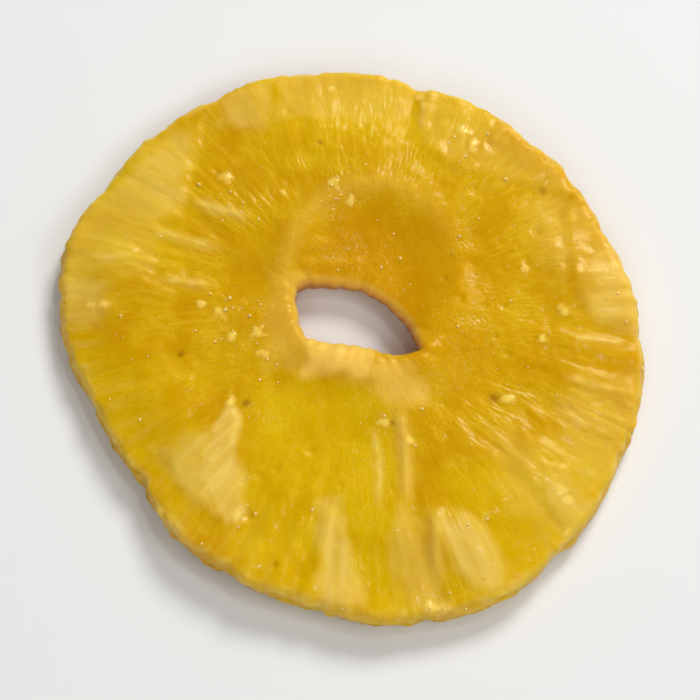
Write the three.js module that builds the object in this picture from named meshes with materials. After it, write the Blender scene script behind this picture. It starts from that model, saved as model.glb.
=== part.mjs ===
// A dried pineapple ring: one thin slice of candied fruit, about 70 mm across and 6 mm thick, lying on its
// flat underside. The flesh is a wavy washer. Fruitlets make lobes and notches in its rim and wedge-shaped
// panels with grooves between them on its faces, and drier flesh stands up in low facets. The core is a
// sunken dish that slopes down to a crooked hole, whose near side is a raised lip.
// Millimetres, +Z up, origin under the middle of the slice.
import * as THREE from "three";

// Driving dimensions, in millimetres and degrees. X runs to the right, Y away from the viewer.
const rimRadius = 34.4;
const bodyThickness = 5.4;
const meshSteps = { round: 160, top: 14, rim: 6, underside: 6, wall: 5 };
const topCrowding = 1.25; // above 1 the steps of the top face crowd towards the hole

// The rim's slow waves: each adds height * cos(lobes * angle - phase) to the radius.
const rimWaves = [
  { lobes: 1, height: 0.85, phase: 40 },
  { lobes: 2, height: 1.95, phase: -95 },
  { lobes: 3, height: 0.62, phase: 118 },
  { lobes: 4, height: 0.29, phase: -46 },
  { lobes: 5, height: 0.3, phase: 91 },
  { lobes: 6, height: 0.34, phase: -45 },
];
const fruitlets = {
  count: 15,
  unevenness: 0.5, // of a fruitlet's own width
  bulge: { least: 0.15, most: 0.45 }, // how far a lobe's middle stands out of the rim
  notch: { least: 0.1, most: 0.42 }, // between two lobes
  notchWidth: 1.1,
  groove: 0.4, // the deepest groove between two panels
  grooveWidth: 1.1,
  grooveStart: 13, // from the middle of the slice
  ridges: 3, // fibre bundles in each panel
  ridgeHeight: 0.12,
  ridgeBend: 6, // the ridges drift sideways by a radian of their wave in this far
};
const fibreCentre = { x: 1.3, y: 2.6 };

// Corners of the hole, joined by a smooth curve, anticlockwise from its pointed right end. The far left
// corner is nearly square and the near side, along the lip, is nearly straight.
const holeCorners = [
  [7.9, -1.6],
  [6.7, 1.6],
  [3.8, 4.9],
  [0.8, 6.5],
  [-6, 6.6],
  [-6, 2.9],
  [-5, 0.2],
  [1.2, -0.9],
  [5.2, -2],
];
const holeStart = -31; // the pointed end's direction from the middle of the hole
const undersideSpread = 0.5; // how much wider the hole is at the underside
// The dish is evenly deep over the share floor of its size, and a low brim stands round it.
const dish = { x: 2.7, y: 7.6, halfLength: 10.8, halfWidth: 12.4, depth: 1.35, floor: 0.25 };
const brim = { height: 0.2, width: 1.6 };
// The lip's crest runs round the hole at crest from its edge, whole and then fading to either side.
const lip = { height: 0.7, width: 3.4, crest: 2, towards: 275, wholeWithin: 41, goneBeyond: 84 };

// Shares of the way from the hole to the rim, and heights.
const rim = { taperStart: 0.7, taper: 1.3, lift: 0.9, liftStart: 0.74 };
const edgeRound = { share: 0.05, bend: 0.6 };
const undersideRise = { dish: 0.6, dishEnd: 0.3, groove: 0.35, grooveStart: 0.72 };
// How much of the lift each side of the rim gets: the sum of share * cos(lobes * angle - phase).
const rimCurls = [
  { lobes: 0, share: 0.55, phase: 0 },
  { lobes: 2, share: 0.45, phase: 150 },
  { lobes: 3, share: 0.2, phase: 40 },
];
// Slow swells of the top face: height * sin(x / length along the heading + phase).
const swells = [
  { height: 0.22, length: 5.1, heading: 20, phase: 0.6 },
  { height: 0.17, length: 3.3, heading: 105, phase: 2.1 },
  { height: 0.1, length: 2.1, heading: 62, phase: 4 },
];
// Raised facets of drier flesh: how far each stands up, and its corners anticlockwise.
const facets = [
  {
    height: 0.28,
    corners: [[-14.4, -7], [-22.4, -14.4], [-20, -19], [-15, -23.6], [-12.5, -22], [-13.2, -10.5]],
  },
  {
    height: 0.22,
    corners: [[-3.2, -21.5], [-4.2, -27], [-3.6, -34], [2, -34], [0, -26.6], [-1.6, -22]],
  },
  {
    height: 0.22,
    corners: [[9.8, -22], [10.2, -26], [14.4, -31.8], [18.4, -31.2], [17, -26], [13.8, -22.4]],
  },
  {
    height: 0.2,
    corners: [[22.8, -16], [23, -21], [26.2, -25.2], [29, -21], [25.8, -16]],
  },
  {
    height: 0.22,
    corners: [[25.8, 16.5], [26.8, 6.5], [28.8, 2.5], [34.6, 2], [32.8, 11.5], [28.2, 19]],
  },
  {
    height: 0.18,
    corners: [[8.8, 33.4], [8.8, 25], [11.8, 22], [21.8, 19.5], [27.2, 18.5], [21.2, 26.5], [14.8, 31.2]],
  },
  {
    height: 0.2,
    corners: [[-30.2, 18.5], [-24.2, 14], [-20.8, 15.5], [-19.2, 22], [-18.2, 28.5], [-25.2, 24.5]],
  },
];
const facetEdge = { out: 0.7, in: 0.8 }; // a facet's side slopes from this far outside to this far inside
// One long fold that runs out from the hole, fading in and out at its ends.
const crease = { fromX: 5.4, fromY: -8, toX: 10.4, toY: -32, height: 0.35, width: 0.7, fade: 4 };

const radians = THREE.MathUtils.degToRad;
const mix = THREE.MathUtils.lerp;
const fullTurn = 2 * Math.PI;

// 0 below low, 1 above high, and smooth between them.
function ramp(value, low, high) {
  return THREE.MathUtils.smoothstep(value, low, high);
}

// 1 at zero, falling smoothly to nothing over about twice the width.
function hump(distance, width) {
  return Math.exp(-((distance / width) ** 2));
}

// The same number from 0 to 1 each time for a whole number and a set.
function chance(number, set) {
  const big = Math.sin(number * 127.1 + set * 311.7) * 4375.85;
  return big - Math.floor(big);
}

// A fruitlet's number within one turn.
function withinTurn(k) {
  return ((k % fruitlets.count) + fruitlets.count) % fruitlets.count;
}

// The boundary before fruitlet number k, as an angle from +X.
function boundaryAngle(k) {
  const shift = fruitlets.unevenness * (chance(withinTurn(k), 1) - 0.5);
  return ((k + shift) / fruitlets.count) * fullTurn;
}

// Which fruitlet an angle lies in and how far across it from 0 to 1, with the nearest boundary's number
// and how far away it is.
function fruitletAt(angle) {
  const turned = ((angle % fullTurn) + fullTurn) % fullTurn;
  let k = Math.floor((turned / fullTurn) * fruitlets.count);
  if (turned < boundaryAngle(k)) k -= 1;
  if (turned >= boundaryAngle(k + 1)) k += 1;
  const start = boundaryAngle(k);
  const end = boundaryAngle(k + 1);
  const across = (turned - start) / (end - start);
  const nearest = across < 0.5 ? k : k + 1;
  const away = Math.abs(turned - boundaryAngle(nearest));
  return { k: withinTurn(k), across, nearest: withinTurn(nearest), away };
}

// The rim's distance from the middle, with its waves, lobes and notches.
function rimDistance(angle) {
  let distance = rimRadius;
  for (const wave of rimWaves) distance += wave.height * Math.cos(wave.lobes * angle - radians(wave.phase));
  const here = fruitletAt(angle);
  const bulge = mix(fruitlets.bulge.least, fruitlets.bulge.most, chance(here.k, 2));
  const notch = mix(fruitlets.notch.least, fruitlets.notch.most, chance(here.nearest, 3));
  distance += bulge * (1 - (2 * here.across - 1) ** 2);
  return distance - notch * hump(here.away * rimRadius, fruitlets.notchWidth);
}

const holePoints = holeCorners.map(([x, y]) => new THREE.Vector3(x, y, 0));
const holeOutline = new THREE.CatmullRomCurve3(holePoints, true);

// The edge of the hole where an angle from +X meets it, with equal steps of angle spread evenly along it.
function holeEdge(angle) {
  const turned = (angle - radians(holeStart)) / fullTurn;
  return holeOutline.getPointAt(turned - Math.floor(turned));
}

// How far out a place lies in the dish round the hole: 0 at its middle, 1 on its brim.
function dishReach(x, y) {
  return Math.hypot((x - dish.x) / dish.halfLength, (y - dish.y) / dish.halfWidth);
}

// Depth of the dish: 0 on and outside its brim, 1 at its deepest.
function dishShare(x, y) {
  return 1 - ramp(dishReach(x, y), dish.floor, 1);
}

function brimHeight(x, y) {
  return brim.height * hump((dishReach(x, y) - 1) * dish.halfLength, brim.width);
}

// 1 towards the near side of the hole, where the lip stands, and 0 towards the far side.
function lipShare(angle) {
  const facing = Math.cos(angle - radians(lip.towards));
  return ramp(facing, Math.cos(radians(lip.goneBeyond)), Math.cos(radians(lip.wholeWithin)));
}

// How far a place lies inside a facet's nearest edge, less than nothing outside it.
function insideFacet(x, y, corners) {
  let inside = Infinity;
  corners.forEach(([fromX, fromY], i) => {
    const [toX, toY] = corners[(i + 1) % corners.length];
    const cross = (toX - fromX) * (y - fromY) - (toY - fromY) * (x - fromX);
    inside = Math.min(inside, cross / Math.hypot(toX - fromX, toY - fromY));
  });
  return inside;
}

function facetHeight(x, y) {
  let height = 0;
  for (const { height: own, corners } of facets) {
    height += own * ramp(insideFacet(x, y, corners), -facetEdge.out, facetEdge.in);
  }
  return height;
}

function creaseHeight(x, y) {
  const runX = crease.toX - crease.fromX;
  const runY = crease.toY - crease.fromY;
  const length = Math.hypot(runX, runY);
  const along = ((x - crease.fromX) * runX + (y - crease.fromY) * runY) / length;
  const aside = ((x - crease.fromX) * runY - (y - crease.fromY) * runX) / length;
  const faded = ramp(along, 0, crease.fade) * (1 - ramp(along, length - crease.fade, length));
  return crease.height * hump(aside, crease.width) * faded;
}

function swellHeight(x, y) {
  let height = 0;
  for (const swell of swells) {
    const heading = radians(swell.heading);
    const along = x * Math.cos(heading) + y * Math.sin(heading);
    height += swell.height * Math.sin(along / swell.length + swell.phase);
  }
  return height;
}

// Grooves between the panels and the fibre ridges on them, growing from the core out to the rim.
function panelRelief(x, y) {
  const fromX = x - fibreCentre.x;
  const fromY = y - fibreCentre.y;
  const distance = Math.hypot(fromX, fromY);
  const here = fruitletAt(Math.atan2(fromY, fromX));
  const grown = ramp(distance, fruitlets.grooveStart, rimRadius);
  const groove = fruitlets.groove * chance(here.nearest, 4);
  const ridge = fruitlets.ridgeHeight * chance(here.k, 5);
  const bent = distance / fruitlets.ridgeBend + here.k;
  const bundle = Math.cos(here.across * fruitlets.ridges * fullTurn + bent);
  return grown * (ridge * bundle - groove * hump(here.away * distance, fruitlets.grooveWidth));
}

// How far the outer part of the slice curls up off the surface it lies on.
function rimLift(share, angle) {
  let curl = 0;
  for (const wave of rimCurls) curl += wave.share * Math.cos(wave.lobes * angle - radians(wave.phase));
  return rim.lift * Math.max(curl, 0) * ramp(share, rim.liftStart, 1);
}

function topHeight(x, y, share, angle) {
  let height = bodyThickness + swellHeight(x, y) + panelRelief(x, y);
  height += facetHeight(x, y) + creaseHeight(x, y) + brimHeight(x, y);
  height -= rim.taper * ramp(share, rim.taperStart, 1);
  const sunk = dish.depth * dishShare(x, y) * (1 - lipShare(angle));
  const crest = lip.height * lipShare(angle) * hump(share * rimRadius - lip.crest, lip.width);
  return height - sunk + crest + rimLift(share, angle);
}

function undersideHeight(x, y, share, angle) {
  const here = fruitletAt(angle);
  const groove = undersideRise.groove * hump(here.away * share * rimRadius, fruitlets.grooveWidth);
  const { dish: hollow, dishEnd, grooveStart } = undersideRise;
  const dished = hollow * dishShare(x, y) * (1 - ramp(share, dishEnd / 3, dishEnd));
  return dished + groove * ramp(share, grooveStart, 1) + rimLift(share, angle);
}

// The section of the blank washer: share runs from the hole, 0, to the rim, 1, and side from the
// underside, -1, to the top, 1. Both edges are rounded over.
function washerSection() {
  const inner = edgeRound.share;
  const flat = 1 - 2 * inner;
  const bulged = (bend) => inner * Math.cos(bend) ** edgeRound.bend;
  const points = [];
  for (let i = 0; i < meshSteps.top; i++) {
    points.push([inner + flat * (i / meshSteps.top) ** topCrowding, 1]);
  }
  for (let i = 0; i < meshSteps.rim; i++) {
    const bend = Math.PI * (0.5 - i / meshSteps.rim);
    points.push([1 - inner + bulged(bend), Math.sin(bend)]);
  }
  for (let i = 0; i < meshSteps.underside; i++) {
    points.push([1 - inner - (flat * i) / meshSteps.underside, -1]);
  }
  for (let i = 0; i < meshSteps.wall; i++) {
    const bend = Math.PI * (i / meshSteps.wall - 0.5);
    points.push([inner - bulged(bend), Math.sin(bend)]);
  }
  points.push(points[0]);
  points.reverse(); // so that the turned faces point out
  return points.map(([share, side]) => new THREE.Vector2(1 + share, side));
}

// Moves a point of the blank washer, whose hole has radius 1 and whose rim has radius 2, to its real place.
function shapedPoint(blank) {
  const angle = Math.atan2(blank.y, blank.x);
  const share = Math.hypot(blank.x, blank.y) - 1;
  const edge = holeEdge(angle);
  const reach = rimDistance(angle);
  const spread = undersideSpread * ((1 - blank.z) / 2) * (1 - share);
  const x = mix(edge.x, reach * Math.cos(angle), share) + spread * Math.cos(angle);
  const y = mix(edge.y, reach * Math.sin(angle), share) + spread * Math.sin(angle);
  const low = undersideHeight(x, y, share, angle);
  const high = topHeight(x, y, share, angle);
  return new THREE.Vector3(x, y, mix(low, high, (blank.z + 1) / 2));
}

function ringGeometry() {
  const geometry = new THREE.LatheGeometry(washerSection(), meshSteps.round);
  geometry.deleteAttribute("uv");
  geometry.rotateX(Math.PI / 2);
  const places = geometry.getAttribute("position");
  for (let i = 0; i < places.count; i++) {
    const shaped = shapedPoint(new THREE.Vector3().fromBufferAttribute(places, i));
    places.setXYZ(i, shaped.x, shaped.y, shaped.z);
  }
  geometry.computeBoundingBox();
  const middle = geometry.boundingBox.getCenter(new THREE.Vector3());
  geometry.translate(-middle.x, -middle.y, -geometry.boundingBox.min.z);
  geometry.computeVertexNormals();
  return geometry;
}

const candiedFruit = new THREE.MeshStandardMaterial({ color: 0xd4a31a, roughness: 0.38, metalness: 0 });

const ring = new THREE.Mesh(ringGeometry(), candiedFruit);
ring.name = "pineapple_ring";

const part = new THREE.Group();
part.add(ring);
export default part;
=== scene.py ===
import math

import bpy
import numpy as np
from mathutils import Matrix, Vector, noise


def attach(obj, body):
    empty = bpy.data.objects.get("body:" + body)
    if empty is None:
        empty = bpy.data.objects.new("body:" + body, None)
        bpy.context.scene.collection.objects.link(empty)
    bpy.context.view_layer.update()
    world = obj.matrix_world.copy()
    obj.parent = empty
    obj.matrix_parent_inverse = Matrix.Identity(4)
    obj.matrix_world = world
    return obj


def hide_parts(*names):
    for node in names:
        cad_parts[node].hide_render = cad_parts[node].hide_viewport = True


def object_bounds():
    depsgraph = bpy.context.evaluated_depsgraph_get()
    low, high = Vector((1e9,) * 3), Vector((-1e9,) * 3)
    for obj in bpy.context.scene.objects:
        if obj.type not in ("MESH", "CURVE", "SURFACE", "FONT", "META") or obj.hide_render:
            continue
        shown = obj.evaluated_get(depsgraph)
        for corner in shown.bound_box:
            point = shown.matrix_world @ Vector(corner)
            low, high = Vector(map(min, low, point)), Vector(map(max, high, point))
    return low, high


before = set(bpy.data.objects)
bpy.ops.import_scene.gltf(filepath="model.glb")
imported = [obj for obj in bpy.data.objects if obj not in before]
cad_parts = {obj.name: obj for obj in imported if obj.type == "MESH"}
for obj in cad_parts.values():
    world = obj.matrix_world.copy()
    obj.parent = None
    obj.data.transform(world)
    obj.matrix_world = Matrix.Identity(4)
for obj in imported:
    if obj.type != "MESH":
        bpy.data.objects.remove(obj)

solidLow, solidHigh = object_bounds()
mm = 0.001
fullTurn = 2 * math.pi


# Small helpers for shapes. They take single numbers or whole arrays.
def ramp(value, low, high):
    t = np.clip((value - low) / (high - low), 0, 1)
    return t * t * (3 - 2 * t)


def hump(distance, width):
    return np.exp(-((distance / width) ** 2))


def mix(a, b, share):
    return a + (b - a) * share


# The same number from 0 to 1 each time for a whole number and a set.
def chance(number, numberSet):
    big = np.sin(number * 127.1 + numberSet * 311.7) * 4375.85
    return big - np.floor(big)


# Smooth noise, about -0.8 to 0.8, at points given as arrays.
def noiseAt(x, y, z, seed=0):
    x, y, z = np.broadcast_arrays(x, y, z)
    offset = seed * 17.31
    values = [noise.noise(Vector((a + offset, b - offset, c + 0.5 * offset)))
              for a, b, c in zip(x.ravel().tolist(), y.ravel().tolist(), z.ravel().tolist())]
    return np.array(values).reshape(x.shape)


def noiseOf(size, x, y, z, seed=0):
    return noiseAt(x / size, y / size, z / size, seed)


ring = {
    "rimRadius": 34.4,
    "bodyThickness": 5.4,
    "roundSteps": 640,
    "topSteps": 90,
    "rimSteps": 26,
    "undersideSteps": 22,
    "wallSteps": 12,
    "topCrowding": 1.25,        # above 1 the steps of the top face crowd towards the hole
    "edgeShare": 0.05,          # share of the way from hole to rim that each rounded edge takes
    "edgeBend": 0.6,
    "taperStart": 0.7,
    "taper": 1.3,
    "undersideSpread": 0.5,     # how much wider the hole is at the underside
    # Slow waves of the rim: height, lobes in a turn, phase.
    "rimWaves": [(0.85, 1, 40), (1.95, 2, -95), (0.62, 3, 118),
                 (0.29, 4, -46), (0.3, 5, 91), (0.34, 6, -45)],
    # Slow swells of the top face: height, length, heading, phase.
    "swells": [(0.22, 5.1, 20, 0.6), (0.17, 3.3, 105, 2.1), (0.1, 2.1, 62, 4)],
    # How the rim curls up: most, where it starts, and each side's share of it with lobes and phase.
    "lift": {"most": 0.9, "start": 0.74, "curls": [(0.55, 0, 0), (0.45, 2, 150), (0.2, 3, 40)]},
    "fruitlets": {
        "count": 15,
        "unevenness": 0.5,      # how far a boundary strays, as a share of a fruitlet
        "bulge": (0.15, 0.45),  # least and most
        "notch": (0.1, 0.42),
        "notchWidth": 1.1,
        "groove": 0.4,
        "grooveWidth": 1.1,
        "grooveStart": 13,
        "ridges": 3,
        "ridgeHeight": 0.12,
        "ridgeBend": 6,
    },
    "fibreCentre": (1.3, 2.6),
    # Corners of the hole, anticlockwise from its pointed right end, and that end's direction.
    "holeCorners": [(7.9, -1.6), (6.7, 1.6), (3.8, 4.9), (0.8, 6.5), (-6, 6.6),
                    (-6, 2.9), (-5, 0.2), (1.2, -0.9), (5.2, -2)],
    "holeStart": -31,
    "dish": {"x": 2.7, "y": 7.6, "halfLength": 10.8, "halfWidth": 12.4, "depth": 1.35, "floor": 0.25},
    "brim": {"height": 0.2, "width": 1.6},
    "lip": {"height": 0.7, "width": 3.4, "crest": 2, "towards": 275, "wholeWithin": 41, "goneBeyond": 84},
    "underside": {"dish": 0.6, "dishEnd": 0.3, "groove": 0.35, "grooveStart": 0.72},
    # Raised facets of drier flesh: height, how pale it is painted, as dry flesh and as painted reflection
    # off its face, corners anticlockwise.
    "facets": [
        (0.28, 0, [(-14.4, -7), (-22.4, -14.4), (-20, -19), (-15, -23.6), (-12.5, -22), (-13.2, -10.5)]),
        (0.22, 0.95, [(-3.2, -21.5), (-4.2, -27), (-3.6, -34), (2, -34), (0, -26.6), (-1.6, -22)]),
        (0.22, 0.95, [(9.8, -22), (10.2, -26), (14.4, -31.8), (18.4, -31.2), (17, -26), (13.8, -22.4)]),
        (0.2, 0.75, [(22.8, -16), (23, -21), (26.2, -25.2), (29, -21), (25.8, -16)]),
        (0.22, 0.3, [(25.8, 16.5), (26.8, 6.5), (28.8, 2.5), (34.6, 2), (32.8, 11.5), (28.2, 19)]),
        (0.18, 0.25, [(8.8, 33.4), (8.8, 25), (11.8, 22), (21.8, 19.5),
                      (27.2, 18.5), (21.2, 26.5), (14.8, 31.2)]),
        (0.2, 0.6, [(-30.2, 18.5), (-24.2, 14), (-20.8, 15.5), (-19.2, 22), (-18.2, 28.5), (-25.2, 24.5)]),
    ],
    "facetEdge": (0.7, 0.8),    # its side slopes from this far outside to this far inside
    "crease": {"from": (5.4, -8), "to": (10.4, -32), "height": 0.35, "width": 0.7, "fade": 4},
    # The crease breaks in two: how far along the first half starts to lean, it breaks, and the second half
    # is straight again; how far each half stands aside at the break, and the gap between them.
    "creaseBreak": {"leans": 3, "breaks": 13.8, "straight": 25, "apart": 1.3, "gap": 1.6},
}
fruitlets, dish, lip = ring["fruitlets"], ring["dish"], ring["lip"]


def boundaryAngle(k):
    shift = fruitlets["unevenness"] * (chance(np.mod(k, fruitlets["count"]), 1) - 0.5)
    return (k + shift) / fruitlets["count"] * fullTurn


# Which fruitlet an angle lies in, how far across it, and the nearest boundary's number and distance.
def fruitletAt(angle):
    count = fruitlets["count"]
    turned = np.mod(angle, fullTurn)
    k = np.floor(turned / fullTurn * count)
    k = np.where(turned < boundaryAngle(k), k - 1, k)
    k = np.where(turned >= boundaryAngle(k + 1), k + 1, k)
    start, end = boundaryAngle(k), boundaryAngle(k + 1)
    across = (turned - start) / (end - start)
    nearest = np.where(across < 0.5, k, k + 1)
    return np.mod(k, count), across, np.mod(nearest, count), np.abs(turned - boundaryAngle(nearest))


def rimDistance(angle):
    distance = ring["rimRadius"]
    for height, lobes, phase in ring["rimWaves"]:
        distance = distance + height * np.cos(lobes * angle - math.radians(phase))
    k, across, nearest, away = fruitletAt(angle)
    distance = distance + mix(*fruitlets["bulge"], chance(k, 2)) * (1 - (2 * across - 1) ** 2)
    notch = mix(*fruitlets["notch"], chance(nearest, 3))
    return distance - notch * hump(away * ring["rimRadius"], fruitlets["notchWidth"])


# The hole's outline as a closed centripetal Catmull-Rom curve, at equal steps along it.
def holeOutline(steps, fine=60):
    corners = [np.array(c, float) for c in ring["holeCorners"]]
    points = []
    for i in range(len(corners)):
        p0, p1, p2, p3 = (corners[(i + j - 1) % len(corners)] for j in range(4))
        d0, d1, d2 = (math.sqrt(np.linalg.norm(b - a)) for a, b in ((p0, p1), (p1, p2), (p2, p3)))
        leave = ((p1 - p0) / d0 - (p2 - p0) / (d0 + d1) + (p2 - p1) / d1) * d1
        arrive = ((p2 - p1) / d1 - (p3 - p1) / (d1 + d2) + (p3 - p2) / d2) * d1
        for t in np.arange(fine) / fine:
            a, b = 2 * t**3 - 3 * t**2 + 1, t**3 - 2 * t**2 + t
            c, d = -2 * t**3 + 3 * t**2, t**3 - t**2
            points.append(a * p1 + b * leave + c * p2 + d * arrive)
    points = np.array(points + [points[0]])
    along = np.concatenate([[0], np.cumsum(np.linalg.norm(np.diff(points, axis=0), axis=1))])
    wanted = np.mod(steps, 1) * along[-1]
    return np.interp(wanted, along, points[:, 0]), np.interp(wanted, along, points[:, 1])


def dishReach(x, y):
    return np.hypot((x - dish["x"]) / dish["halfLength"], (y - dish["y"]) / dish["halfWidth"])


def dishShare(x, y):
    return 1 - ramp(dishReach(x, y), dish["floor"], 1)


def lipShare(angle):
    facing = np.cos(angle - math.radians(lip["towards"]))
    gone, whole = (math.cos(math.radians(lip[end])) for end in ("goneBeyond", "wholeWithin"))
    return ramp(facing, gone, whole)


# How far a place lies inside a many-sided patch's nearest edge, less than nothing outside it.
def insidePatch(x, y, corners):
    inside = np.full(np.shape(x), np.inf)
    for (fromX, fromY), (toX, toY) in zip(corners, corners[1:] + corners[:1]):
        cross = (toX - fromX) * (y - fromY) - (toY - fromY) * (x - fromX)
        inside = np.minimum(inside, cross / math.hypot(toX - fromX, toY - fromY))
    return inside


# How far a place lies along the crease and to its side, and how whole the crease is there.
def creasePlace(x, y):
    crease = ring["crease"]
    (x0, y0), (x1, y1) = crease["from"], crease["to"]
    length = math.hypot(x1 - x0, y1 - y0)
    along = ((x - x0) * (x1 - x0) + (y - y0) * (y1 - y0)) / length
    aside = ((x - x0) * (y1 - y0) - (y - y0) * (x1 - x0)) / length
    whole = ramp(along, 0, crease["fade"]) * (1 - ramp(along, length - crease["fade"], length))
    halves = ring["creaseBreak"]
    breaks = halves["breaks"]
    firstLean = ramp(along, halves["leans"], breaks)
    secondLean = ramp(along, breaks, halves["straight"]) - 1
    aside = aside - halves["apart"] * np.where(along < breaks, firstLean, secondLean)
    return aside, whole * (1 - hump(along - breaks, halves["gap"]))


# Distance and heading from the place that the fibres run out from.
def fibrePlace(x, y):
    fromX, fromY = x - ring["fibreCentre"][0], y - ring["fibreCentre"][1]
    return np.hypot(fromX, fromY), np.arctan2(fromY, fromX)


def rimLift(share, angle):
    lift = ring["lift"]
    curl = sum(own * np.cos(lobes * angle - math.radians(phase)) for own, lobes, phase in lift["curls"])
    return lift["most"] * np.maximum(curl, 0) * ramp(share, lift["start"], 1)


def topHeight(x, y, share, angle):
    height = ring["bodyThickness"] - ring["taper"] * ramp(share, ring["taperStart"], 1)
    for size, length, heading, phase in ring["swells"]:
        h = math.radians(heading)
        height = height + size * np.sin((x * math.cos(h) + y * math.sin(h)) / length + phase)
    distance, heading = fibrePlace(x, y)
    k, across, nearest, away = fruitletAt(heading)
    grown = ramp(distance, fruitlets["grooveStart"], ring["rimRadius"])
    groove = fruitlets["groove"] * chance(nearest, 4) * hump(away * distance, fruitlets["grooveWidth"])
    bundle = np.cos(across * fruitlets["ridges"] * fullTurn + distance / fruitlets["ridgeBend"] + k)
    height = height + grown * (fruitlets["ridgeHeight"] * chance(k, 5) * bundle - groove)
    outside, within = ring["facetEdge"]
    for own, pale, corners in ring["facets"]:
        height = height + own * ramp(insidePatch(x, y, corners), -outside, within)
    aside, whole = creasePlace(x, y)
    height = height + ring["crease"]["height"] * hump(aside, ring["crease"]["width"]) * whole
    fromBrim = (dishReach(x, y) - 1) * dish["halfLength"]
    height = height + ring["brim"]["height"] * hump(fromBrim, ring["brim"]["width"])
    height = height - dish["depth"] * dishShare(x, y) * (1 - lipShare(angle))
    fromCrest = share * ring["rimRadius"] - lip["crest"]
    height = height + lip["height"] * lipShare(angle) * hump(fromCrest, lip["width"])
    return height + rimLift(share, angle)


def undersideHeight(x, y, share, angle):
    rise = ring["underside"]
    k, across, nearest, away = fruitletAt(angle)
    groove = rise["groove"] * hump(away * share * ring["rimRadius"], fruitlets["grooveWidth"])
    dished = rise["dish"] * dishShare(x, y) * (1 - ramp(share, rise["dishEnd"] / 3, rise["dishEnd"]))
    return dished + groove * ramp(share, rise["grooveStart"], 1) + rimLift(share, angle)


# Section of the blank washer: share runs from the hole, 0, to the rim, 1, and side from -1, below, to 1.
def washerSection():
    inner = ring["edgeShare"]
    flat = 1 - 2 * inner
    top = np.arange(ring["topSteps"]) / ring["topSteps"]
    bendOut = math.pi * (0.5 - np.arange(ring["rimSteps"]) / ring["rimSteps"])
    under = np.arange(ring["undersideSteps"]) / ring["undersideSteps"]
    bendIn = math.pi * (np.arange(ring["wallSteps"]) / ring["wallSteps"] - 0.5)
    share = np.concatenate([
        inner + flat * top ** ring["topCrowding"],
        1 - inner + inner * np.cos(bendOut).clip(0) ** ring["edgeBend"],
        1 - inner - flat * under,
        inner - inner * np.cos(bendIn).clip(0) ** ring["edgeBend"],
    ])
    side = np.concatenate([np.ones(len(top)), np.sin(bendOut), -np.ones(len(under)), np.sin(bendIn)])
    return share[None, :], side[None, :]


print("ring: shaping the slice")
angle = np.linspace(0, fullTurn, ring["roundSteps"], endpoint=False)[:, None]
share, side = washerSection()
edgeX, edgeY = holeOutline((angle - math.radians(ring["holeStart"])) / fullTurn)
spread = ring["undersideSpread"] * (1 - side) / 2 * (1 - share)
x = mix(edgeX, rimDistance(angle) * np.cos(angle), share) + spread * np.cos(angle)
y = mix(edgeY, rimDistance(angle) * np.sin(angle), share) + spread * np.sin(angle)
z = mix(undersideHeight(x, y, share, angle), topHeight(x, y, share, angle), (side + 1) / 2)
onTop = ramp(side, -0.2, 1)     # 1 on the top face, less down the walls and 0 below

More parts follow.
